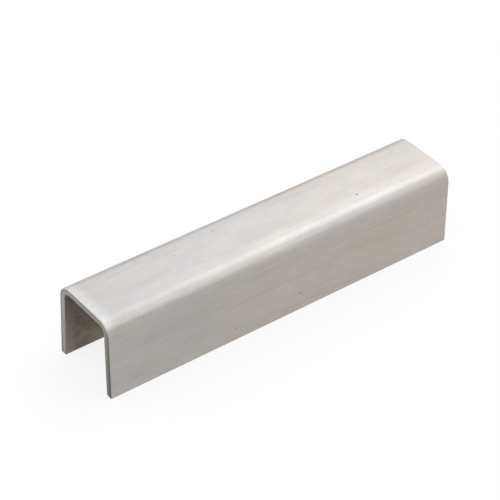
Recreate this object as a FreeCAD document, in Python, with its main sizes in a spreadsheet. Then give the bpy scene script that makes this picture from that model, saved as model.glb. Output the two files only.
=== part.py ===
"""Stainless steel cap rail: one length of strip bent into a channel that is open at the bottom.

The rail is pushed down over the top edge of a glass balustrade panel, with a rubber gasket on each
side of the glass. It is a single piece of 12 gauge strip with two long bends, and it is stored lying
on the cut edges of its two legs.

Frame, in millimetres: +X along the length, +Y from the front leg to the back leg, +Z up. The origin
is on the floor, under the middle of the web.
"""

import FreeCAD, Part

import math
import os

import Sketcher
from FreeCAD import Vector

# Each driving size: alias in the sheet, value in mm or degrees, and what it measures.
DRIVING_SIZES = [
    ("rail_length", 152.4, "length along X"),
    ("rail_height", 32.0, "from the feet of the legs to the top of the web"),
    ("slot_width", 24.0, "clear width between the legs at the bends, before they flare"),
    ("strip_thickness", 2.78, "12 gauge stainless strip"),
    ("bend_inside_radius", 2.78, "inside radius of both bends"),
    ("leg_flare", 1.8, "degrees that each leg springs back outwards from square"),
    ("edge_break", 0.3, "radius that deburring leaves on every cut edge"),
]

START, END, CENTRE = 1, 2, 3  # Sketcher's numbers for the points of a line or an arc
HORIZONTAL_AXIS, VERTICAL_AXIS = -1, -2  # Sketcher's numbers for a sketch's own axes
ON_PLANE = 1e-4  # mm within which an edge counts as lying in a cutting plane


def make_sheet(doc):
    """The spreadsheet that holds the driving sizes, one to a row."""
    sheet = doc.addObject("Spreadsheet::Sheet", "sizes")
    for row, (alias, value, meaning) in enumerate(DRIVING_SIZES, start=1):
        sheet.set(f"A{row}", alias)
        sheet.set(f"B{row}", str(value))
        sheet.set(f"C{row}", meaning)
        sheet.setAlias(f"B{row}", alias)
    doc.recompute()
    return sheet


def add_outline(sketch, sheet, radius, web_height):
    """One side of the strip's section: leg, bend, web, bend, leg, joined by tangents.

    The lines and arcs are drawn where the sizes put them, so that the solver starts at its answer.
    The front is the sketch's negative side. Returns the number of each line and arc by name.
    """
    flare = math.radians(sheet.leg_flare)
    centre_y = sheet.slot_width / 2 - sheet.bend_inside_radius
    centre_z = web_height - radius
    bend_end = Vector(centre_y + radius * math.cos(flare), centre_z + radius * math.sin(flare), 0)
    foot = Vector(bend_end.x + bend_end.y * math.tan(flare), 0, 0)

    def mirrored(point):
        return Vector(-point.x, point.y, 0)

    def bend(side, first_angle, last_angle):
        circle = Part.Circle(Vector(side * centre_y, centre_z, 0), Vector(0, 0, 1), radius)
        return Part.ArcOfCircle(circle, first_angle, last_angle)

    curves = {
        "front_leg": Part.LineSegment(mirrored(foot), mirrored(bend_end)),
        "front_bend": bend(-1, math.pi / 2, math.pi - flare),
        "web": Part.LineSegment(Vector(-centre_y, web_height, 0), Vector(centre_y, web_height, 0)),
        "back_bend": bend(1, flare, math.pi / 2),
        "back_leg": Part.LineSegment(bend_end, foot),
    }
    number = {name: sketch.addGeometry(curve) for name, curve in curves.items()}
    tangents = [
        ("front_leg", END, "front_bend", END),
        ("front_bend", START, "web", START),
        ("web", END, "back_bend", END),
        ("back_bend", START, "back_leg", START),
    ]
    for first, first_point, second, second_point in tangents:
        sketch.addConstraint(
            Sketcher.Constraint("Tangent", number[first], first_point, number[second], second_point)
        )
    sketch.addConstraint(Sketcher.Constraint("Equal", number["front_bend"], number["back_bend"]))
    return number


def add_size(sketch, name, constraint, expression):
    """A named dimension of the sketch, bound to the sheet."""
    index = sketch.addConstraint(constraint)
    sketch.renameConstraint(index, name)
    sketch.setExpression(f".Constraints.{name}", expression)


def draw_section(body, sheet):
    """The strip's cross-section, in the plane square to the length: sketch x is Y, sketch y is Z."""
    sketch = body.newObject("Sketcher::SketchObject", "section")
    planes = {plane.Role: plane for plane in body.Origin.OriginFeatures}
    sketch.AttachmentSupport = [(planes["YZ_Plane"], "")]
    sketch.MapMode = "FlatFace"

    thickness = sheet.strip_thickness
    inside_radius = sheet.bend_inside_radius
    outside_radius = inside_radius + thickness
    outer = add_outline(sketch, sheet, outside_radius, sheet.rail_height)
    inner = add_outline(sketch, sheet, inside_radius, sheet.rail_height - thickness)

    def constrain(*arguments):
        sketch.addConstraint(Sketcher.Constraint(*arguments))

    # The feet close the outline along the floor.
    for leg, foot_end in (("front_leg", START), ("back_leg", END)):
        foot = sketch.addGeometry(
            Part.LineSegment(
                sketch.getPoint(outer[leg], foot_end), sketch.getPoint(inner[leg], foot_end)
            )
        )
        constrain("Coincident", foot, START, outer[leg], foot_end)
        constrain("Coincident", foot, END, inner[leg], foot_end)
        constrain("PointOnObject", inner[leg], foot_end, HORIZONTAL_AXIS)
        constrain("Parallel", outer[leg], inner[leg])
    constrain("PointOnObject", outer["back_leg"], END, HORIZONTAL_AXIS)

    # Both bends are concentric inside and out, and the section is symmetric about Z.
    for bend in ("front_bend", "back_bend"):
        constrain("Coincident", outer[bend], CENTRE, inner[bend], CENTRE)
    constrain("Symmetric", outer["front_bend"], CENTRE, outer["back_bend"], CENTRE, VERTICAL_AXIS)
    constrain("Symmetric", outer["front_leg"], START, outer["back_leg"], END, VERTICAL_AXIS)

    add_size(
        sketch,
        "inside_radius",
        Sketcher.Constraint("Radius", inner["back_bend"], inside_radius),
        "sizes.bend_inside_radius",
    )
    add_size(
        sketch,
        "outside_radius",
        Sketcher.Constraint("Radius", outer["back_bend"], outside_radius),
        "sizes.bend_inside_radius + sizes.strip_thickness",
    )
    add_size(
        sketch,
        "bend_centres",
        Sketcher.Constraint(
            "DistanceX",
            outer["front_bend"],
            CENTRE,
            outer["back_bend"],
            CENTRE,
            sheet.slot_width - 2 * inside_radius,
        ),
        "sizes.slot_width - 2 * sizes.bend_inside_radius",
    )
    add_size(
        sketch,
        "height",
        Sketcher.Constraint(
            "DistanceY", HORIZONTAL_AXIS, START, outer["web"], END, sheet.rail_height
        ),
        "sizes.rail_height",
    )
    add_size(
        sketch,
        "angle_between_legs",
        Sketcher.Constraint(
            "Angle",
            outer["front_leg"],
            END,
            outer["back_leg"],
            START,
            math.radians(2 * sheet.leg_flare),
        ),
        "2 * sizes.leg_flare",
    )
    return sketch


def pad_strip(body, sketch):
    """The section drawn out to the length, half of it on each side of the origin."""
    pad = body.newObject("PartDesign::Pad", "bent_strip")
    pad.Profile = sketch
    pad.SideType = "Symmetric"
    pad.setExpression("Length", "sizes.rail_length")
    sketch.Visibility = False
    return pad


def cut_edges_of(shape, sheet):
    """Names of the edges that a saw or slitter left: both ends' outlines and the legs' feet."""

    def lies_in(low, high, plane):
        return abs(low - plane) < ON_PLANE and abs(high - plane) < ON_PLANE

    names = []
    for index, edge in enumerate(shape.Edges, start=1):
        box = edge.BoundBox
        half_length = sheet.rail_length / 2
        on_an_end = any(lies_in(box.XMin, box.XMax, end) for end in (-half_length, half_length))
        on_the_floor = lies_in(box.ZMin, box.ZMax, 0)
        if on_an_end or on_the_floor:
            names.append(f"Edge{index}")
    return names


def deburr(body, pad, sheet):
    """Every cut edge broken to a small radius."""
    fillet = body.newObject("PartDesign::Fillet", "broken_edges")
    fillet.Base = (pad, cut_edges_of(pad.Shape, sheet))
    fillet.setExpression("Radius", "sizes.edge_break")
    return fillet


def make_cap_rail(doc, sheet):
    """The one piece: strip bent to a channel, cut to length and deburred."""
    body = doc.addObject("PartDesign::Body", "cap_rail")
    body.Label = "cap_rail"
    sketch = draw_section(body, sheet)
    doc.recompute()
    if sketch.solve() != 0 or not sketch.FullyConstrained:
        raise RuntimeError("the section does not solve, or its sizes leave part of it loose")
    pad = pad_strip(body, sketch)
    doc.recompute()
    fillet = deburr(body, pad, sheet)
    doc.recompute()
    if not 0.99 * pad.Shape.Volume < fillet.Shape.Volume < pad.Shape.Volume:
        raise RuntimeError("breaking the edges did not take off a thin sliver of metal")
    body.Tip = fillet
    return body


def check(doc, pieces):
    """Stops the build if any object failed, or a piece is not one valid solid."""
    for item in doc.Objects:
        if {"Invalid", "Error"} & set(item.State):
            raise RuntimeError(f"{item.Label} failed: {item.State}")
    for piece in pieces:
        shape = piece.Shape
        if shape.isNull() or not shape.isValid() or len(shape.Solids) != 1:
            raise RuntimeError(f"{piece.Label} is not one valid solid")


def export(pieces):
    """One STEP file for each piece, named after it."""
    os.makedirs("parts", exist_ok=True)
    for piece in pieces:
        piece.Shape.exportStep(f"parts/{piece.Label}.step")
        box = piece.Shape.optimalBoundingBox(True, False)
        print(
            f"{piece.Label}: {box.XLength:.2f} x {box.YLength:.2f} x {box.ZLength:.2f} mm,"
            f" {piece.Shape.Volume:.0f} mm3"
        )


def main():
    doc = FreeCAD.newDocument("cap_rail_part")
    sheet = make_sheet(doc)
    pieces = [make_cap_rail(doc, sheet)]
    doc.recompute()
    check(doc, pieces)
    export(pieces)


main()
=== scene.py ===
# %% [markdown]
# # A stainless steel cap rail
#
# The real object is one length of stainless steel strip, bent lengthwise into a channel that is open
# at the bottom. It is pushed down over the top edge of a glass balustrade panel. Its outside is ground
# along its length with a fine belt, which gives the satin finish of handrails and lift doors.
#
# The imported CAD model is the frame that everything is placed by. It is loaded first, and its box is
# kept, because the finished model must not grow past it.

import math

import bpy
from mathutils import Matrix, Vector


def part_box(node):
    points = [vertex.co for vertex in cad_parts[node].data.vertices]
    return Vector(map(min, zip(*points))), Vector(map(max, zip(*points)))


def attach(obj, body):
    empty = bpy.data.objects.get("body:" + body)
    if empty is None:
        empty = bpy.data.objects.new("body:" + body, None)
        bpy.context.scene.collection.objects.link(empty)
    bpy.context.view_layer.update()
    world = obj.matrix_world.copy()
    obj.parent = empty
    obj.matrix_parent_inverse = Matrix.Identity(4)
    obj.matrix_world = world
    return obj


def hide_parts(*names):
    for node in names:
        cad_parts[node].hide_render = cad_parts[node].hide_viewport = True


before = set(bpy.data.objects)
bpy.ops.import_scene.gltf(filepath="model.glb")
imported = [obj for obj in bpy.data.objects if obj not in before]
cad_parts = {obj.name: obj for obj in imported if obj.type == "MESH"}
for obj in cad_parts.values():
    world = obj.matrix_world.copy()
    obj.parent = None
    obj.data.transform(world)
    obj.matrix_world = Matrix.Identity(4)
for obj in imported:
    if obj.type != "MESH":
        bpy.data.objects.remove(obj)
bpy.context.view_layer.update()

# %% [markdown]
# ## Sizes
#
# Length and height come from the CAD box. The strip's own sizes are those that the part was built
# with: 12 gauge strip, bent round a punch whose radius is the strip's thickness, with legs that sprang
# open by a little when the press let go. Blender works in metres, so `MM` turns one into the other.
# The legs lean out by 1.8 degrees in the CAD. Here it is a hair less, which keeps the rounded feet
# inside the CAD box.

# %% Name the rail's sizes
MM = 0.001
rail_low, rail_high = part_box("cap_rail")
LENGTH = rail_high.x - rail_low.x
HEIGHT = rail_high.z - rail_low.z
THICKNESS = 2.78 * MM
INSIDE_RADIUS = 2.78 * MM
SLOT_WIDTH = 24.0 * MM
LEG_FLARE = math.radians(1.799)
EDGE_BREAK = 0.3 * MM
print(f"rail: {LENGTH / MM:.1f} mm long, {HEIGHT / MM:.1f} mm high")

# %% [markdown]
# ## One helper for every node tree
#
# Node trees are made in code here, so that each step can be read. This function adds one node, sets
# its properties, and then fills each input: with a link where it is given another node or one of its
# outputs, and with a plain value otherwise. A node given whole stands for its first output.

# %% Add a node
def add_node(tree, kind, settings=None, inputs=None):
    node = tree.nodes.new(kind)
    for name, value in (settings or {}).items():
        setattr(node, name, value)
    for name, value in (inputs or {}).items():
        if isinstance(value, bpy.types.Node):
            value = value.outputs[0]
        if isinstance(value, bpy.types.NodeSocket):
            tree.links.new(value, node.inputs[name])
        else:
            node.inputs[name].default_value = value
    return node


# %% [markdown]
# ## The bent strip
#
# A press brake makes the real rail from a flat strip, and Geometry Nodes can do the same. The strip
# starts as a box whose vertices are counted and not measured: each one knows only how many steps it is
# from the middle. The steps are then given real lengths, short in the bends and at the edges and long
# on the flats, which a plain subdivided cube can't do. Next every edge is rounded, as deburring does.
# At last the strip is bent, by moving each point to its place in the section. The flat place of each
# point is kept as an attribute, so that the finish can follow the metal round the bends.
#
# The strip's sizes follow from the rail's. Bending neither stretches nor shortens the middle of the
# wall, so the flat lengths are measured there.
#
# The grinding belt has a soft backing. It bears hardest where the flat web turns into a bend, and dubs
# the metal off there by up to a quarter of a millimetre, over about 5 mm to each side. That is why a
# lamp's band of light on a real rail fades into the web, where a true arc would end it in a line.

# %% Work out the flat strip
MIDDLE_RADIUS = INSIDE_RADIUS + THICKNESS / 2
BEND_ANGLE = math.pi / 2 - LEG_FLARE
BEND_CENTRE_HEIGHT = HEIGHT - THICKNESS - INSIDE_RADIUS
LEG_LENGTH = (BEND_CENTRE_HEIGHT + MIDDLE_RADIUS * math.sin(LEG_FLARE)) / math.cos(LEG_FLARE)
STRIP_SIZES = {
    "Half Length": LENGTH / 2 - EDGE_BREAK,
    "Half Web": SLOT_WIDTH / 2 - INSIDE_RADIUS,
    "Bend": MIDDLE_RADIUS * BEND_ANGLE,
    "Leg": LEG_LENGTH - EDGE_BREAK,
    "Half Wall": THICKNESS / 2 - EDGE_BREAK,
    "Edge Break": EDGE_BREAK,
    "Middle Radius": MIDDLE_RADIUS,
    "Bend Centre Height": BEND_CENTRE_HEIGHT,
    "Thickness": THICKNESS,
    "Bend Angle": BEND_ANGLE,
    "Leg Flare": LEG_FLARE,
    "Dubbing": 0.25 * MM,
    "Dubbed Reach": 5.2 * MM,
    "Dubbed Middle": 1.2 * MM,
}
half_width = STRIP_SIZES["Half Web"] + STRIP_SIZES["Bend"] + LEG_LENGTH
print(f"flat strip: {LENGTH / MM:.1f} x {2 * half_width / MM:.1f} x {THICKNESS / MM:.2f} mm")

# %% [markdown]
# Each axis has its own row of flats and bends, listed from the middle of the strip outwards with the
# number of steps in each. On a flat the steps get shorter towards both of its ends. The shading of a
# bend or an edge then can't spread over the flat beside it.

# %% Start the tree with its named inputs
STEPS = [
    [(28, "Half Length"), (4, "Edge Break")],
    [(10, "Half Web"), (18, "Bend"), (12, "Leg"), (4, "Edge Break")],
    [(3, "Half Wall"), (4, "Edge Break")],
]
ROUND_STRETCHES = ("Bend", "Edge Break")

strip_tree = bpy.data.node_groups.new("bent strip", "GeometryNodeTree")
strip_tree.interface.new_socket("Geometry", in_out="OUTPUT", socket_type="NodeSocketGeometry")
socket_ids = {}
for name in STRIP_SIZES:
    made = strip_tree.interface.new_socket(name, in_out="INPUT", socket_type="NodeSocketFloat")
    socket_ids[name] = made.identifier
made = strip_tree.interface.new_socket("Finish", in_out="INPUT", socket_type="NodeSocketMaterial")
socket_ids["Finish"] = made.identifier
size = add_node(strip_tree, "NodeGroupInput").outputs
print("inputs of the bent strip:", ", ".join(socket_ids))

# %% The counted box, and its steps given their lengths
counts = [2 * sum(steps for steps, _ in row) + 1 for row in STEPS]
counted_box = add_node(
    strip_tree,
    "GeometryNodeMeshCube",
    None,
    {
        "Size": [count - 1 for count in counts],
        "Vertices X": counts[0],
        "Vertices Y": counts[1],
        "Vertices Z": counts[2],
    },
)
position = add_node(strip_tree, "GeometryNodeInputPosition")
side = add_node(strip_tree, "ShaderNodeVectorMath", {"operation": "SIGN"}, {0: position})
steps_out = add_node(strip_tree, "ShaderNodeVectorMath", {"operation": "ABSOLUTE"}, {0: position})
steps_on = add_node(strip_tree, "ShaderNodeSeparateXYZ", None, {0: steps_out})

distances = []
for axis, row in enumerate(STEPS):
    distance = 0.0
    first_step = 0
    for steps, stretch in row:
        way = "LINEAR" if stretch in ROUND_STRETCHES else "SMOOTHSTEP"
        covered = add_node(
            strip_tree,
            "ShaderNodeMapRange",
            {"interpolation_type": way},
            {
                "Value": steps_on.outputs[axis],
                "From Min": first_step,
                "From Max": first_step + steps,
                "To Max": size[stretch],
            },
        )
        distance = add_node(
            strip_tree, "ShaderNodeMath", {"operation": "ADD"}, {0: distance, 1: covered}
        )
        first_step += steps
    distances.append(distance)
square_place = add_node(strip_tree, "ShaderNodeCombineXYZ", None, dict(enumerate(distances)))
print("steps along, across and through the strip:", [count - 1 for count in counts])

# %% [markdown]
# An edge is rounded by pulling its points in to a sphere's distance from the flats' corner. The flats
# themselves stay where they are, because there the nearest point of the core is straight below.

# %% Round every edge
bend_end = add_node(
    strip_tree, "ShaderNodeMath", {"operation": "ADD"}, {0: size["Half Web"], 1: size["Bend"]}
)
core_width = add_node(
    strip_tree, "ShaderNodeMath", {"operation": "ADD"}, {0: bend_end, 1: size["Leg"]}
)
core_size = add_node(
    strip_tree,
    "ShaderNodeCombineXYZ",
    None,
    {0: size["Half Length"], 1: core_width, 2: size["Half Wall"]},
)
core = add_node(
    strip_tree, "ShaderNodeVectorMath", {"operation": "MINIMUM"}, {0: square_place, 1: core_size}
)
outwards = add_node(
    strip_tree, "ShaderNodeVectorMath", {"operation": "SUBTRACT"}, {0: square_place, 1: core}
)
direction = add_node(strip_tree, "ShaderNodeVectorMath", {"operation": "NORMALIZE"}, {0: outwards})
rounding = add_node(
    strip_tree,
    "ShaderNodeVectorMath",
    {"operation": "SCALE"},
    {0: direction, "Scale": size["Edge Break"]},
)
rounded = add_node(strip_tree, "ShaderNodeVectorMath", {"operation": "ADD"}, {0: core, 1: rounding})
flat_place = add_node(
    strip_tree, "ShaderNodeVectorMath", {"operation": "MULTIPLY"}, {0: rounded, 1: side}
)
print(f"every edge is rounded to {EDGE_BREAK / MM:.1f} mm")

# %% [markdown]
# A direction that lies between two of the strip's axes belongs to a rounded edge, and the further it
# is from both the nearer it is to the edge's middle. That gives a mask from 0 on the flats to 1 on the
# crest of each edge. The finish uses it for the painted shade and painted highlight along the edges, and
# for the smoother filed edges.

# %% Find the crests of the edges
lean_out = add_node(strip_tree, "ShaderNodeVectorMath", {"operation": "ABSOLUTE"}, {0: direction})
lean_parts = add_node(strip_tree, "ShaderNodeSeparateXYZ", None, {0: lean_out})
larger = add_node(
    strip_tree,
    "ShaderNodeMath",
    {"operation": "MAXIMUM"},
    {0: lean_parts.outputs["X"], 1: lean_parts.outputs["Y"]},
)
largest = add_node(
    strip_tree, "ShaderNodeMath", {"operation": "MAXIMUM"}, {0: larger, 1: lean_parts.outputs["Z"]}
)
crest = add_node(
    strip_tree,
    "ShaderNodeMapRange",
    None,
    {"Value": largest, "From Min": 1.0, "From Max": math.cos(math.pi / 4)},
)
crested_strip = add_node(
    strip_tree,
    "GeometryNodeStoreNamedAttribute",
    {"data_type": "FLOAT", "domain": "POINT"},
    {"Geometry": counted_box, "Name": "edge_crest", "Value": crest},
)
flat_strip = add_node(
    strip_tree, "GeometryNodeSetPosition", None, {"Geometry": crested_strip, "Position": flat_place}
)
print("mask on the edges:", crested_strip.inputs["Name"].default_value)

# %% [markdown]
# The flat place is stored in millimetres, which suit the patterns of a finish better than metres do.
# The UV map is the same strip drawn on a plane, again in millimetres, with U across the strip and V
# along it. Going over an edge it keeps growing with the depth below the outer face, so the cut faces
# have room of their own in it. The outer share says where a point is in the wall, from 0 on the inner
# face to 1 on the outer one.

# %% Keep each point's flat place and map it
in_mm = add_node(
    strip_tree, "ShaderNodeVectorMath", {"operation": "SCALE"}, {0: position, "Scale": 1 / MM}
)
remembered = add_node(
    strip_tree,
    "GeometryNodeStoreNamedAttribute",
    {"data_type": "FLOAT_VECTOR", "domain": "POINT"},
    {"Geometry": flat_strip, "Name": "strip_place", "Value": in_mm},
)
across_and_along = add_node(
    strip_tree,
    "ShaderNodeVectorRotate",
    {"rotation_type": "AXIS_ANGLE"},
    {"Vector": in_mm, "Axis": (0, 0, 1), "Angle": math.pi / 2},
)
place = add_node(strip_tree, "ShaderNodeSeparateXYZ", None, {0: position})
from_wall_middle = add_node(
    strip_tree,
    "ShaderNodeMath",
    {"operation": "DIVIDE"},
    {0: place.outputs["Z"], 1: size["Thickness"]},
)
outer_share = add_node(
    strip_tree, "ShaderNodeMath", {"operation": "ADD"}, {0: from_wall_middle, 1: 0.5}
)
growth = add_node(
    strip_tree,
    "ShaderNodeMapRange",
    None,
    {"Value": outer_share, "To Min": 1.0 + THICKNESS / half_width, "To Max": 1.0},
)
map_place = add_node(
    strip_tree,
    "ShaderNodeVectorMath",
    {"operation": "SCALE"},
    {0: across_and_along, "Scale": growth},
)
mapped = add_node(
    strip_tree,
    "GeometryNodeStoreNamedAttribute",
    {"data_type": "FLOAT2", "domain": "CORNER"},
    {"Geometry": remembered, "Name": "UVMap", "Value": map_place},
)
print("flat place and map:", remembered.inputs["Name"].default_value, "and UVMap")

# %% [markdown]
# Bending looks at how far each point is from the middle of the strip. Up to the bend it slides out
# along the web. Through the bend it turns about the bend's centre, at a radius that depends on its
# depth in the wall. After the bend it goes down the leg, and the leg leans out by the flare. The drop
# is a share of each point's own height over the floor, so both feet end flat on the floor.

# %% Work out how far each point turns, and at which radius
across = add_node(
    strip_tree, "ShaderNodeMath", {"operation": "ABSOLUTE"}, {0: place.outputs["Y"]}
)
front_or_back = add_node(
    strip_tree, "ShaderNodeMath", {"operation": "SIGN"}, {0: place.outputs["Y"]}
)
along_web = add_node(
    strip_tree, "ShaderNodeMath", {"operation": "MINIMUM"}, {0: across, 1: size["Half Web"]}
)
turned = add_node(
    strip_tree,
    "ShaderNodeMapRange",
    None,
    {
        "Value": across,
        "From Min": size["Half Web"],
        "From Max": bend_end,
        "To Max": size["Bend Angle"],
    },
)
strip_edge = add_node(
    strip_tree, "ShaderNodeMath", {"operation": "ADD"}, {0: core_width, 1: size["Edge Break"]}
)
share_of_leg = add_node(
    strip_tree,
    "ShaderNodeMapRange",
    None,
    {"Value": across, "From Min": bend_end, "From Max": strip_edge},
)
true_radius = add_node(
    strip_tree,
    "ShaderNodeMath",
    {"operation": "ADD"},
    {0: size["Middle Radius"], 1: place.outputs["Z"]},
)
print(f"each bend turns by {math.degrees(BEND_ANGLE):.1f} degrees")

# %% [markdown]
# The dubbing is taken off the radius. It is deepest a little way into the bend and fades out on both
# sides of that. It also fades through the wall, because the belt never reached the inner face.

# %% Dub the outer face beside the bends
dubbed_middle = add_node(
    strip_tree,
    "ShaderNodeMath",
    {"operation": "ADD"},
    {0: size["Half Web"], 1: size["Dubbed Middle"]},
)
past_dubbing = add_node(
    strip_tree, "ShaderNodeMath", {"operation": "SUBTRACT"}, {0: across, 1: dubbed_middle}
)
from_dubbing = add_node(strip_tree, "ShaderNodeMath", {"operation": "ABSOLUTE"}, {0: past_dubbing})
dubbed_depth = add_node(
    strip_tree,
    "ShaderNodeMapRange",
    {"interpolation_type": "SMOOTHSTEP"},
    {
        "Value": from_dubbing,
        "From Min": size["Dubbed Reach"],
        "From Max": 0.0,
        "To Max": size["Dubbing"],
    },
)
ground_off = add_node(
    strip_tree, "ShaderNodeMath", {"operation": "MULTIPLY"}, {0: dubbed_depth, 1: outer_share}
)
radius = add_node(
    strip_tree, "ShaderNodeMath", {"operation": "SUBTRACT"}, {0: true_radius, 1: ground_off}
)
print(f"the belt takes off up to {STRIP_SIZES['Dubbing'] / MM:.2f} mm there")

# %% Bend the strip
sine = add_node(strip_tree, "ShaderNodeMath", {"operation": "SINE"}, {0: turned})
cosine = add_node(strip_tree, "ShaderNodeMath", {"operation": "COSINE"}, {0: turned})
lean = add_node(strip_tree, "ShaderNodeMath", {"operation": "TANGENT"}, {0: size["Leg Flare"]})
rise = add_node(strip_tree, "ShaderNodeMath", {"operation": "SINE"}, {0: size["Leg Flare"]})
leg_top = add_node(
    strip_tree,
    "ShaderNodeMath",
    {"operation": "MULTIPLY_ADD"},
    {0: radius, 1: rise, 2: size["Bend Centre Height"]},
)
drop = add_node(
    strip_tree, "ShaderNodeMath", {"operation": "MULTIPLY"}, {0: leg_top, 1: share_of_leg}
)
bent_out = add_node(
    strip_tree, "ShaderNodeMath", {"operation": "MULTIPLY_ADD"}, {0: radius, 1: sine, 2: along_web}
)
out = add_node(
    strip_tree, "ShaderNodeMath", {"operation": "MULTIPLY_ADD"}, {0: drop, 1: lean, 2: bent_out}
)
bent_up = add_node(
    strip_tree,
    "ShaderNodeMath",
    {"operation": "MULTIPLY_ADD"},
    {0: radius, 1: cosine, 2: size["Bend Centre Height"]},
)
up = add_node(strip_tree, "ShaderNodeMath", {"operation": "SUBTRACT"}, {0: bent_up, 1: drop})
to_its_side = add_node(
    strip_tree, "ShaderNodeMath", {"operation": "MULTIPLY"}, {0: out, 1: front_or_back}
)
bent_place = add_node(
    strip_tree, "ShaderNodeCombineXYZ", None, {0: place.outputs["X"], 1: to_its_side, 2: up}
)
bent_strip = add_node(
    strip_tree, "GeometryNodeSetPosition", None, {"Geometry": mapped, "Position": bent_place}
)
smooth_strip = add_node(strip_tree, "GeometryNodeSetShadeSmooth", None, {"Geometry": bent_strip})
real_strip = add_node(
    strip_tree, "GeometryNodeRealizeInstances", None, {"Geometry": smooth_strip}
)
finished_strip = add_node(
    strip_tree,
    "GeometryNodeSetMaterial",
    None,
    {"Geometry": real_strip, "Material": size["Finish"]},
)
add_node(strip_tree, "NodeGroupOutput", None, {"Geometry": finished_strip})
print("nodes in the bent strip:", len(strip_tree.nodes))

# %% [markdown]
# ## Colours
#
# Colours are written as sRGB hex values, the way a colour picker shows them, and shaders want them
# linear. One function turns them. A metal's base colour is what it reflects straight back. Stainless
# steel is a neutral grey that leans a little to yellow.

# %% Turn hex colours to linear
def linear(hex_colour):
    """The linear red, green, blue and alpha of an sRGB hex colour."""
    colour = []
    for start in (1, 3, 5):
        share = int(hex_colour[start : start + 2], 16) / 255
        # The sRGB curve is straight near black, and a power of 2.4 above that.
        near_black = share <= 0.04045
        colour.append(share / 12.92 if near_black else ((share + 0.055) / 1.055) ** 2.4)
    return colour + [1.0]


COOL_STEEL = linear("#ADA9A5")
WARM_STEEL = linear("#B0A8A0")
# The inside colours are partly the mill finish and partly painted shade, paler where painted light gets
# in.
MILL_FINISH_IN_SHADE = linear("#5A534D")
LIT_MILL_FINISH = linear("#8B8278")
OIL_FILM = linear("#82766A")
# The cut-face colours also carry a painted reflection: darker on the front leg, palest at the top of the
# back leg.
SHEARED_AND_SHADED_STEEL = linear("#4E4B47")
TORN_AND_LIT_STEEL = linear("#A29E99")
# Painted shade and a painted highlight for the crests of the edges: dark on most, near white on the
# web's filed edges.
PAINTED_EDGE_SHADE = linear("#7C7974")
PAINTED_EDGE_HIGHLIGHT = linear("#E6E4E0")
PIT = linear("#2E2A28")
print("cool steel, linear:", [round(share, 3) for share in COOL_STEEL[:3]])

# %% [markdown]
# ## Satin stainless steel
#
# The steel is stainless, most likely grade 304. Its outside is ground along the length with a fine
# belt, which leaves shallow parallel scratches. They spread a reflection across the grain, so a lamp
# shows as a soft band along each bend, and never as a sharp picture. The belt doesn't press evenly, so
# streaks and cloudy patches come out a little darker or lighter, warmer or cooler.
#
# All of it follows the metal round the bends, so the material reads `strip_place`, where each point
# was on the flat strip: X along, Y across from the middle of the web, and Z up through the wall to the
# outer face, all in millimetres.

# %% Start the steel, and read where each point was
satin_stainless = bpy.data.materials.new("satin stainless steel")
satin_stainless.use_nodes = True
steel_tree = satin_stainless.node_tree
steel_tree.nodes.clear()
place_node = add_node(steel_tree, "ShaderNodeAttribute", {"attribute_name": "strip_place"})
strip_place = place_node.outputs["Vector"]
along, across, through = add_node(
    steel_tree, "ShaderNodeSeparateXYZ", None, {0: strip_place}
).outputs
along_out = add_node(steel_tree, "ShaderNodeMath", {"operation": "ABSOLUTE"}, {0: along})
across_out = add_node(steel_tree, "ShaderNodeMath", {"operation": "ABSOLUTE"}, {0: across})
OUTER_FACE = THICKNESS / 2 / MM
STRIP_END = LENGTH / 2 / MM
STRIP_EDGE = half_width / MM
print(f"the strip reaches {STRIP_END:.1f} mm along, {STRIP_EDGE:.1f} mm across")

# %% [markdown]
# Every pattern is noise, stretched to the real size of one mark: its length along the strip, its width
# across, and its depth through the wall. Dividing the place by those sizes does that. The belt's
# scratches are really about 0.05 mm wide, too fine to show, so the grain here is drawn 0.45 mm wide and
# 5 mm long. The shift moves each pattern to a stretch of noise of its own, and the waver bends its marks
# a little, because a belt held by hand doesn't run quite straight.

# %% Make the patterns of the finish
MARKS = {
    "grain": {"size": (5.0, 0.45, 1.0), "shift": 3.0, "detail": 3.0, "waver": 0.0},
    "streaks": {"size": (60.0, 0.9, 3.0), "shift": 40.0, "detail": 2.0, "waver": 0.1},
    "clouds": {"size": (26.0, 8.0, 8.0), "shift": 27.0, "detail": 3.0, "waver": 0.5},
    "tint": {"size": (70.0, 16.0, 16.0), "shift": 339.0, "detail": 2.0, "waver": 0.5},
    "oil": {"size": (6.0, 4.0, 4.0), "shift": 163.0, "detail": 5.0, "waver": 0.5},
    "tear": {"size": (1.2, 0.8, 0.6), "shift": 200.0, "detail": 3.0, "waver": 0.0},
}
NOISE_ROUGHNESS = 0.55
pattern = {}
for name, look in MARKS.items():
    stretched = add_node(
        steel_tree,
        "ShaderNodeVectorMath",
        {"operation": "MULTIPLY_ADD"},
        {
            0: strip_place,
            1: [1 / size_in_mm for size_in_mm in look["size"]],
            2: (look["shift"], 0, 0),
        },
    )
    pattern[name] = add_node(
        steel_tree,
        "ShaderNodeTexNoise",
        None,
        {
            "Vector": stretched,
            "Scale": 1.0,
            "Detail": look["detail"],
            "Roughness": NOISE_ROUGHNESS,
            "Distortion": look["waver"],
        },
    )
print("patterns:", ", ".join(pattern))
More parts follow.
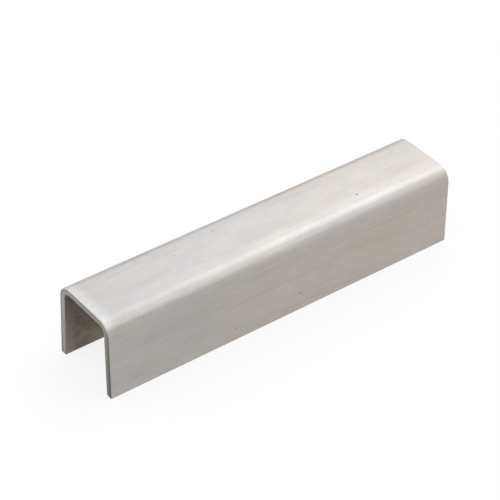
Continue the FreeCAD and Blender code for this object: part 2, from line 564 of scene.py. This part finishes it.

# %% [markdown]
# Noise lies round one half. So half of each amount is taken off first, and the pattern then adds to the
# rest, which keeps the average where the colour has it. The steel is also a trace redder towards its
# right end, so the tint is mostly cool at the left end and mostly warm at the right.

# %% Colour the ground outside
LIGHT_AND_DARK = {"grain": 0.26, "streaks": 0.22, "clouds": 0.22}
brightness = 1.0 - sum(LIGHT_AND_DARK.values()) / 2
for name, amount in LIGHT_AND_DARK.items():
    brightness = add_node(
        steel_tree,
        "ShaderNodeMath",
        {"operation": "MULTIPLY_ADD"},
        {0: pattern[name], 1: amount, 2: brightness},
    )
WARMER_PER_MM = 0.0015
ALL_COOL = 0.35
ALL_WARM = 0.65
warm_drift = add_node(
    steel_tree,
    "ShaderNodeMath",
    {"operation": "MULTIPLY_ADD"},
    {0: along, 1: WARMER_PER_MM, 2: pattern["tint"]},
)
warmth = add_node(
    steel_tree,
    "ShaderNodeMapRange",
    None,
    {"Value": warm_drift, "From Min": ALL_COOL, "From Max": ALL_WARM},
)
tinted = add_node(
    steel_tree,
    "ShaderNodeMix",
    {"data_type": "RGBA"},
    {"Factor": warmth, 6: COOL_STEEL, 7: WARM_STEEL},
)
ground_colour = add_node(
    steel_tree,
    "ShaderNodeHueSaturation",
    None,
    {"Color": tinted.outputs[2], "Value": brightness},
)
print("the ground outside varies by", LIGHT_AND_DARK)

# %% [markdown]
# The inside of the channel never met the belt. It has the dull grey of the rolling mill, under a brown
# film of rolling oil. Its colour is also painted dark, as painted shade inside the channel. Towards the
# feet and just inside the ends it is painted paler, as painted light where light comes in at the open
# bottom and at the ends.

# %% Colour the mill finish inside
FEET_LIGHT_REACH = 27.0
FEET_LIT_BY = 0.35
ENDS_LIGHT_REACH = 5.0
ENDS_LIT_BY = 0.9
# Painted light: the inside is painted paler towards the feet and the ends, where light comes into the
# channel.
lit_at_feet = add_node(
    steel_tree,
    "ShaderNodeMapRange",
    None,
    {
        "Value": across_out,
        "From Min": STRIP_EDGE - FEET_LIGHT_REACH,
        "From Max": STRIP_EDGE,
        "To Max": FEET_LIT_BY,
    },
)
lit_at_ends = add_node(
    steel_tree,
    "ShaderNodeMapRange",
    None,
    {
        "Value": along_out,
        "From Min": STRIP_END - ENDS_LIGHT_REACH,
        "From Max": STRIP_END,
        "To Max": ENDS_LIT_BY,
    },
)
lit_inside = add_node(
    steel_tree, "ShaderNodeMath", {"operation": "ADD"}, {0: lit_at_feet, 1: lit_at_ends}
)
shaded_and_lit_mill_colour = add_node(
    steel_tree,
    "ShaderNodeMix",
    {"data_type": "RGBA"},
    {"Factor": lit_inside, 6: MILL_FINISH_IN_SHADE, 7: LIT_MILL_FINISH},
)
OIL_STARTS = 0.40
OIL_FULL = 0.62
THICKEST_OIL = 0.9
oil_share = add_node(
    steel_tree,
    "ShaderNodeMapRange",
    None,
    {
        "Value": pattern["oil"],
        "From Min": OIL_STARTS,
        "From Max": OIL_FULL,
        "To Max": THICKEST_OIL,
    },
)
mill_colour = add_node(
    steel_tree,
    "ShaderNodeMix",
    {"data_type": "RGBA"},
    {"Factor": oil_share, 6: shaded_and_lit_mill_colour.outputs[2], 7: OIL_FILM},
)
insideness = add_node(
    steel_tree,
    "ShaderNodeMapRange",
    None,
    {
        "Value": through,
        "From Min": EDGE_BREAK / MM - OUTER_FACE,
        "From Max": EDGE_BREAK / MM / 2 - OUTER_FACE,
    },
)
both_sides = add_node(
    steel_tree,
    "ShaderNodeMix",
    {"data_type": "RGBA"},
    {"Factor": insideness, 6: ground_colour, 7: mill_colour.outputs[2]},
)
print(f"mill finish inside, rubbed {FEET_LIGHT_REACH:.0f} mm up from the feet and {ENDS_LIGHT_REACH:.0f} mm in")

# %% [markdown]
# The two ends and the two feet are cut faces. A shear first slides down the wall, and leaves it smooth
# and dark near the outer face, and then the metal tears, pale and rough. Across the strip the cut is
# also painted palest at the top of the back leg and darker on the front leg. That is a painted
# reflection of the lit paper and of the rail's shadow on it.

# %% Colour the cut faces
TEAR_STARTS = 0.4
TEAR_FULL = 1.6
TORN_BY_DEPTH = 0.5
LIGHT_BY_SIDE = 0.65
TORN_BY_CHANCE = 0.5
DARKEST_CUT = 0.3
PALEST_CUT = 1.4
BRIGHTEST_REFLECTION_PLACE = 20.0
torn_by_depth = add_node(
    steel_tree,
    "ShaderNodeMapRange",
    None,
    {
        "Value": through,
        "From Min": OUTER_FACE - TEAR_STARTS,
        "From Max": OUTER_FACE - TEAR_FULL,
        "To Max": TORN_BY_DEPTH,
    },
)
# Painted reflection: the cut is painted palest near the top of the back leg and darker towards the front
# leg, for the lit paper and the rail's shadow that the cut faces reflect.
from_brightest_reflection = add_node(
    steel_tree, "ShaderNodeMath", {"operation": "SUBTRACT"}, {0: across, 1: BRIGHTEST_REFLECTION_PLACE}
)
off_brightest_reflection = add_node(steel_tree, "ShaderNodeMath", {"operation": "ABSOLUTE"}, {0: from_brightest_reflection})
painted_light_by_side = add_node(
    steel_tree,
    "ShaderNodeMapRange",
    None,
    {
        "Value": off_brightest_reflection,
        "From Min": STRIP_EDGE + BRIGHTEST_REFLECTION_PLACE,
        "From Max": 0.0,
        "To Max": LIGHT_BY_SIDE,
    },
)
torn_and_painted_light = add_node(
    steel_tree, "ShaderNodeMath", {"operation": "ADD"}, {0: torn_by_depth, 1: painted_light_by_side}
)
uneven_tear_and_light = add_node(
    steel_tree,
    "ShaderNodeMath",
    {"operation": "MULTIPLY_ADD"},
    {0: pattern["tear"], 1: TORN_BY_CHANCE, 2: torn_and_painted_light},
)
tear_and_light_share = add_node(
    steel_tree,
    "ShaderNodeMapRange",
    None,
    {"Value": uneven_tear_and_light, "From Min": DARKEST_CUT, "From Max": PALEST_CUT},
)
cut_colour = add_node(
    steel_tree,
    "ShaderNodeMix",
    {"data_type": "RGBA"},
    {"Factor": tear_and_light_share, 6: SHEARED_AND_SHADED_STEEL, 7: TORN_AND_LIT_STEEL},
)
print(f"cut faces are palest {BRIGHTEST_REFLECTION_PLACE:.0f} mm to the back of the middle")

# %% Find the cut faces, and put their colour there
cut_faces = 0.0
for out_from_middle, half_size in ((along_out, STRIP_END), (across_out, STRIP_EDGE)):
    near_cut = add_node(
        steel_tree,
        "ShaderNodeMapRange",
        None,
        {
            "Value": out_from_middle,
            "From Min": half_size - EDGE_BREAK / MM / 2,
            "From Max": half_size - EDGE_BREAK / MM / 8,
        },
    )
    cut_faces = add_node(
        steel_tree, "ShaderNodeMath", {"operation": "MAXIMUM"}, {0: cut_faces, 1: near_cut}
    )
with_cuts = add_node(
    steel_tree,
    "ShaderNodeMix",
    {"data_type": "RGBA"},
    {"Factor": cut_faces, 6: both_sides.outputs[2], 7: cut_colour.outputs[2]},
)
print(f"cut faces at {STRIP_END:.1f} mm along and {STRIP_EDGE:.1f} mm across")

# %% [markdown]
# The web's cut edges were filed, because hands meet them, so they scatter less. Their crests are painted
# near white, as a painted highlight of the lamp that shows along that edge. At the left end that painted
# highlight runs on over the web by a few millimetres. On the legs and inside the channel the crests are
# painted dark, as painted shade along those edges.

# %% Colour the broken edges
LEFT_END_HIGHLIGHT_REACH = 6.0
LEFT_END_HIGHLIGHT_SHARE = 0.25
edge_node = add_node(steel_tree, "ShaderNodeAttribute", {"attribute_name": "edge_crest"})
edge_crest = edge_node.outputs["Fac"]
on_top = add_node(
    steel_tree,
    "ShaderNodeMapRange",
    None,
    {
        "Value": across_out,
        "From Min": (STRIP_SIZES["Half Web"] + STRIP_SIZES["Bend"]) / MM,
        "From Max": (STRIP_SIZES["Half Web"] + STRIP_SIZES["Bend"] / 2) / MM,
    },
)
outside_only = add_node(
    steel_tree, "ShaderNodeMapRange", None, {"Value": through, "From Max": OUTER_FACE / 2}
)
filed_and_highlit = add_node(
    steel_tree, "ShaderNodeMath", {"operation": "MULTIPLY"}, {0: on_top, 1: outside_only}
)
# Painted highlight: the web is painted lighter over the last few millimetres of its left end.
highlight_past_the_end = add_node(
    steel_tree,
    "ShaderNodeMapRange",
    {"interpolation_type": "SMOOTHSTEP"},
    {
        "Value": along,
        "From Min": LEFT_END_HIGHLIGHT_REACH - STRIP_END,
        "From Max": -STRIP_END,
        "To Max": LEFT_END_HIGHLIGHT_SHARE,
    },
)
painted_highlight_on_web = add_node(
    steel_tree, "ShaderNodeMath", {"operation": "MULTIPLY"}, {0: highlight_past_the_end, 1: filed_and_highlit}
)
edge_and_highlight_share = add_node(
    steel_tree, "ShaderNodeMath", {"operation": "MAXIMUM"}, {0: edge_crest, 1: painted_highlight_on_web}
)
# Painted shade on most edge crests and a painted highlight on the web's filed edges.
edge_shade_and_highlight = add_node(
    steel_tree,
    "ShaderNodeMix",
    {"data_type": "RGBA"},
    {"Factor": filed_and_highlit, 6: PAINTED_EDGE_SHADE, 7: PAINTED_EDGE_HIGHLIGHT},
)
with_edges = add_node(
    steel_tree,
    "ShaderNodeMix",
    {"data_type": "RGBA"},
    {"Factor": edge_and_highlight_share, 6: with_cuts.outputs[2], 7: edge_shade_and_highlight.outputs[2]},
)
print(f"the file ran on over the left end of the web by {LEFT_END_HIGHLIGHT_REACH:.0f} mm")

# %% [markdown]
# A few pits stay in the steel, as a grain of scale leaves one when it is pulled out. Each is less than a
# millimetre wide, and too few of them show to be left to chance, so they are placed one by one: along,
# across and radius, in millimetres.

# %% Put in the pits
LOW_ON_FRONT_LEG = -STRIP_EDGE
PITS = [
    (38.8, -5.9, 0.42),
    (6.5, LOW_ON_FRONT_LEG + 7.3, 0.36),
    (-22.9, LOW_ON_FRONT_LEG + 5.5, 0.32),
    (51.6, LOW_ON_FRONT_LEG + 13.3, 0.28),
    (-62.5, -12.3, 0.15),
    (-36.0, 3.6, 0.24),
    (-16.6, 7.5, 0.26),
]
pitted = 0.0
for pit_along, pit_across, pit_radius in PITS:
    from_pit = add_node(
        steel_tree,
        "ShaderNodeVectorMath",
        {"operation": "DISTANCE"},
        {0: strip_place, 1: (pit_along, pit_across, OUTER_FACE)},
    )
    in_pit = add_node(
        steel_tree,
        "ShaderNodeMapRange",
        None,
        {"Value": from_pit.outputs["Value"], "From Min": pit_radius, "From Max": pit_radius / 3},
    )
    pitted = add_node(
        steel_tree, "ShaderNodeMath", {"operation": "MAXIMUM"}, {0: pitted, 1: in_pit}
    )
steel_colour = add_node(
    steel_tree,
    "ShaderNodeMix",
    {"data_type": "RGBA"},
    {"Factor": pitted, 6: with_edges.outputs[2], 7: PIT},
)
print("pits:", len(PITS))

# %% [markdown]
# A satin grind is about 0.4 rough, and its streaks are a little more or less so. Cut and mill faces
# scatter more, and the filed edges less.

# %% Say how rough each place is
GROUND_ROUGHNESS = 0.40
STREAK_ROUGHNESS = 0.04
SMOOTHEST_STREAK = 0.3
ROUGHEST_STREAK = 0.7
DULL_ROUGHNESS = 0.50
FILED_ROUGHNESS = 0.25
ground_roughness = add_node(
    steel_tree,
    "ShaderNodeMapRange",
    None,
    {
        "Value": pattern["streaks"],
        "From Min": SMOOTHEST_STREAK,
        "From Max": ROUGHEST_STREAK,
        "To Min": GROUND_ROUGHNESS - STREAK_ROUGHNESS,
        "To Max": GROUND_ROUGHNESS + STREAK_ROUGHNESS,
    },
)
dull = add_node(
    steel_tree, "ShaderNodeMath", {"operation": "MAXIMUM"}, {0: cut_faces, 1: insideness}
)
face_roughness = add_node(
    steel_tree,
    "ShaderNodeMix",
    {"data_type": "FLOAT"},
    {"Factor": dull, 2: ground_roughness, 3: DULL_ROUGHNESS},
)
filed_edge = add_node(
    steel_tree, "ShaderNodeMath", {"operation": "MULTIPLY"}, {0: edge_crest, 1: filed_and_highlit}
)
roughness = add_node(
    steel_tree,
    "ShaderNodeMix",
    {"data_type": "FLOAT"},
    {"Factor": filed_edge, 2: face_roughness, 3: FILED_ROUGHNESS},
)
print("roughness: ground", GROUND_ROUGHNESS, "dull", DULL_ROUGHNESS, "filed_and_highlit", FILED_ROUGHNESS)

# %% [markdown]
# The relief is the same grain again, a few thousandths of a millimetre high, with the tear's coarser
# bumps on the cut faces, and the pits sunk into it.

# %% Raise the relief
GRAIN_HEIGHT = 0.006 * MM
TEAR_HEIGHTS = 5.0
PIT_HEIGHTS = -12.0
tear_relief = add_node(
    steel_tree,
    "ShaderNodeMath",
    {"operation": "MULTIPLY"},
    {0: pattern["tear"], 1: TEAR_HEIGHTS},
)
face_relief = add_node(
    steel_tree,
    "ShaderNodeMix",
    {"data_type": "FLOAT"},
    {"Factor": cut_faces, 2: pattern["grain"], 3: tear_relief},
)
whole_relief = add_node(
    steel_tree,
    "ShaderNodeMath",
    {"operation": "MULTIPLY_ADD"},
    {0: pitted, 1: PIT_HEIGHTS, 2: face_relief},
)
relief = add_node(
    steel_tree,
    "ShaderNodeBump",
    None,
    {"Strength": 1.0, "Distance": GRAIN_HEIGHT, "Height": whole_relief},
)
print(f"grain {GRAIN_HEIGHT / MM:.3f} mm high, pits {-PIT_HEIGHTS * GRAIN_HEIGHT / MM:.3f} mm deep")

# %% [markdown]
# The grain runs along the strip, so a reflection is drawn out across it. The tangent comes from the UV
# map's U, which runs across the strip, and the anisotropy says by how much.

# %% Put the steel together
ANISOTROPY = 0.4
tangent = add_node(
    steel_tree, "ShaderNodeTangent", {"direction_type": "UV_MAP", "uv_map": "UVMap"}
)
steel = add_node(
    steel_tree,
    "ShaderNodeBsdfPrincipled",
    None,
    {
        "Base Color": steel_colour.outputs[2],
        "Metallic": 1.0,
        "Roughness": roughness,
        "Anisotropic": ANISOTROPY,
        "Tangent": tangent,
        "Normal": relief,
    },
)
add_node(steel_tree, "ShaderNodeOutputMaterial", None, {"Surface": steel})
print("nodes in the steel:", len(steel_tree.nodes))

# %% [markdown]
# ## The rail as a plain mesh
#
# The modifier is given its sizes by the identifiers of its sockets, before anything evaluates it. Its
# result is then copied into a mesh of its own and the modifier goes, so the mesh holds what is seen.

# %% Bend the strip and keep the result
rail = bpy.data.objects.new("satin_cap_rail", bpy.data.meshes.new("satin_cap_rail"))
bpy.context.scene.collection.objects.link(rail)
bending = rail.modifiers.new("bent strip", "NODES")
bending.node_group = strip_tree
for name, value in STRIP_SIZES.items():
    bending[socket_ids[name]] = value
bending[socket_ids["Finish"]] = satin_stainless

depsgraph = bpy.context.evaluated_depsgraph_get()
bent_mesh = bpy.data.meshes.new_from_object(
    rail.evaluated_get(depsgraph), preserve_all_data_layers=True, depsgraph=depsgraph
)
rail.modifiers.clear()
rail.data = bent_mesh
print(f"bent strip: {len(bent_mesh.vertices)} vertices, {len(bent_mesh.polygons)} faces")
print("its attributes:", [a.name for a in bent_mesh.attributes if not a.name.startswith(".")])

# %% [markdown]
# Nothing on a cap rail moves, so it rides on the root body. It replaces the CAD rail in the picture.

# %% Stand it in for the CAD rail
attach(rail, "root")
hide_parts("cap_rail")
print(rail.name, "rides on root in place of cap_rail")

# %% [markdown]
# ## The floor
#
# The rail stands on its feet on a sheet of white paper. Its shader mixes real matt paper, which takes
# the rail's shadow, with plain white. The white is only for rays from the camera, or from a mirror or
# glass, so the background and its reflection in the steel are white, and no more light falls on the
# steel for it.

# %% Lay the paper
PAPER_HALF = 2.0
PAPER_CORNERS = ((-1, -1), (1, -1), (1, 1), (-1, 1))
bpy.context.scene.view_settings.view_transform = "Standard"
floor_mesh = bpy.data.meshes.new("studio_floor")
corner_places = [(PAPER_HALF * x, PAPER_HALF * y, 0) for x, y in PAPER_CORNERS]
floor_mesh.from_pydata(corner_places, [], [(0, 1, 2, 3)])
floor = bpy.data.objects.new("studio_floor", floor_mesh)
bpy.context.scene.collection.objects.link(floor)
print(f"paper: {2 * PAPER_HALF:.0f} m square")

# %% Make the paper white
paper = bpy.data.materials.new("matt white paper")
paper.use_nodes = True
paper_tree = paper.node_tree
paper_tree.nodes.clear()
ray = add_node(paper_tree, "ShaderNodeLightPath").outputs
seen_or_mirrored = add_node(
    paper_tree,
    "ShaderNodeMath",
    {"operation": "MAXIMUM"},
    {0: ray["Is Camera Ray"], 1: ray["Is Glossy Ray"]},
)
seen_at_all = add_node(
    paper_tree,
    "ShaderNodeMath",
    {"operation": "MAXIMUM"},
    {0: seen_or_mirrored, 1: ray["Is Transmission Ray"]},
)
PLAIN_WHITE_SHARE = 0.85
whitened = add_node(
    paper_tree, "ShaderNodeMath", {"operation": "MULTIPLY"}, {0: seen_at_all, 1: PLAIN_WHITE_SHARE}
)
matt_paper = add_node(paper_tree, "ShaderNodeBsdfDiffuse", None, {"Color": linear("#EDEDED")})
plain_white = add_node(paper_tree, "ShaderNodeEmission", None, {"Color": linear("#FFFFFF")})
paper_shader = add_node(
    paper_tree, "ShaderNodeMixShader", None, {0: whitened, 1: matt_paper, 2: plain_white}
)
add_node(paper_tree, "ShaderNodeOutputMaterial", None, {"Surface": paper_shader})
floor_mesh.materials.append(paper)
print("nodes in the paper:", len(paper_tree.nodes))

# %% [markdown]
# ## Light
#
# The room is a plain white tent, at strength 1, so steel reflects it in the colour that it is written
# in. The softboxes are daylight, a little cooler, and add the bright bands. The key hangs over the
# right end and shows in the front bend and the web. Two weaker ones fill in at the front and the back.
# A smaller one low behind the left end catches the filed edge of the web.

# %% Light the tent
tent = bpy.data.worlds.new("white tent")
bpy.context.scene.world = tent
tent.use_nodes = True
tent.node_tree.nodes.clear()
tent_walls = add_node(
    tent.node_tree, "ShaderNodeBackground", None, {"Color": linear("#FFFFFF"), "Strength": 1.0}
)
add_node(tent.node_tree, "ShaderNodeOutputWorld", None, {"Surface": tent_walls})
print("tent at strength", tent_walls.inputs["Strength"].default_value)


# %% Hang the softboxes
SOFTBOX_DISTANCE = 0.8
DAYLIGHT = linear("#EAF3FF")
SOFTBOXES = {
    "key_softbox": {"azimuth": 15, "elevation": 55, "width": 0.5, "watts": 1.55},
    "back_softbox": {"azimuth": 55, "elevation": 38, "width": 0.5, "watts": 0.65},
    "front_softbox": {"azimuth": 300, "elevation": 50, "width": 0.5, "watts": 0.75},
    "edge_softbox": {"azimuth": 130, "elevation": 30, "width": 0.4, "watts": 0.8},
}
for name, softbox in SOFTBOXES.items():
    lamp = bpy.data.lights.new(name, "AREA")
    lamp.shape = "SQUARE"
    lamp.size = softbox["width"]
    lamp.energy = softbox["watts"]
    lamp.color = DAYLIGHT[:3]
    holder = bpy.data.objects.new(name, lamp)
    bpy.context.scene.collection.objects.link(holder)
    turn = math.radians(softbox["azimuth"])
    tilt = math.radians(softbox["elevation"])
    away = Vector(
        (math.cos(turn) * math.cos(tilt), math.sin(turn) * math.cos(tilt), math.sin(tilt))
    )
    holder.location = away * SOFTBOX_DISTANCE
    holder.rotation_mode = "QUATERNION"
    holder.rotation_quaternion = (-away).to_track_quat("-Z", "Y")
    print(name, "at", [round(share, 2) for share in holder.location])

# %% [markdown]
# ## Camera
#
# The rail is seen from the front and the left, from above, with a long lens, so that its far end looks
# nearly as large as its near end. The camera's own three directions are worked out from its angles, and
# its place is a distance back from the middle of the rail, with a small step left and up.

# %% Aim the camera
LENS = 145.286
SENSOR = 36.0
AZIMUTH = math.radians(-38.2358)
ELEVATION = math.radians(38.3351)
ROLL = math.radians(1.6336)
STEP_BACK = 728.169 * MM
STEP_RIGHT = -4.048 * MM
STEP_UP = 3.305 * MM
back = Vector(
    (
        math.sin(AZIMUTH) * math.cos(ELEVATION),
        -math.cos(AZIMUTH) * math.cos(ELEVATION),
        math.sin(ELEVATION),
    )
)
level_right = Vector((0, 0, 1)).cross(back).normalized()
level_up = back.cross(level_right)
right = level_right * math.cos(ROLL) + level_up * math.sin(ROLL)
upwards = level_up * math.cos(ROLL) - level_right * math.sin(ROLL)
camera_data = bpy.data.cameras.new("camera")
camera_data.sensor_width = SENSOR
camera_data.lens = LENS
camera_data.clip_start = 0.01
camera = bpy.data.objects.new("camera", camera_data)
bpy.context.scene.collection.objects.link(camera)
middle = Vector((0, 0, HEIGHT / 2))
camera_place = middle + back * STEP_BACK + right * STEP_RIGHT + upwards * STEP_UP
turned_to_rail = Matrix((right, upwards, back)).transposed().to_4x4()
camera.matrix_world = Matrix.Translation(camera_place) @ turned_to_rail
bpy.context.scene.camera = camera
print("camera at", [round(share, 3) for share in camera_place])
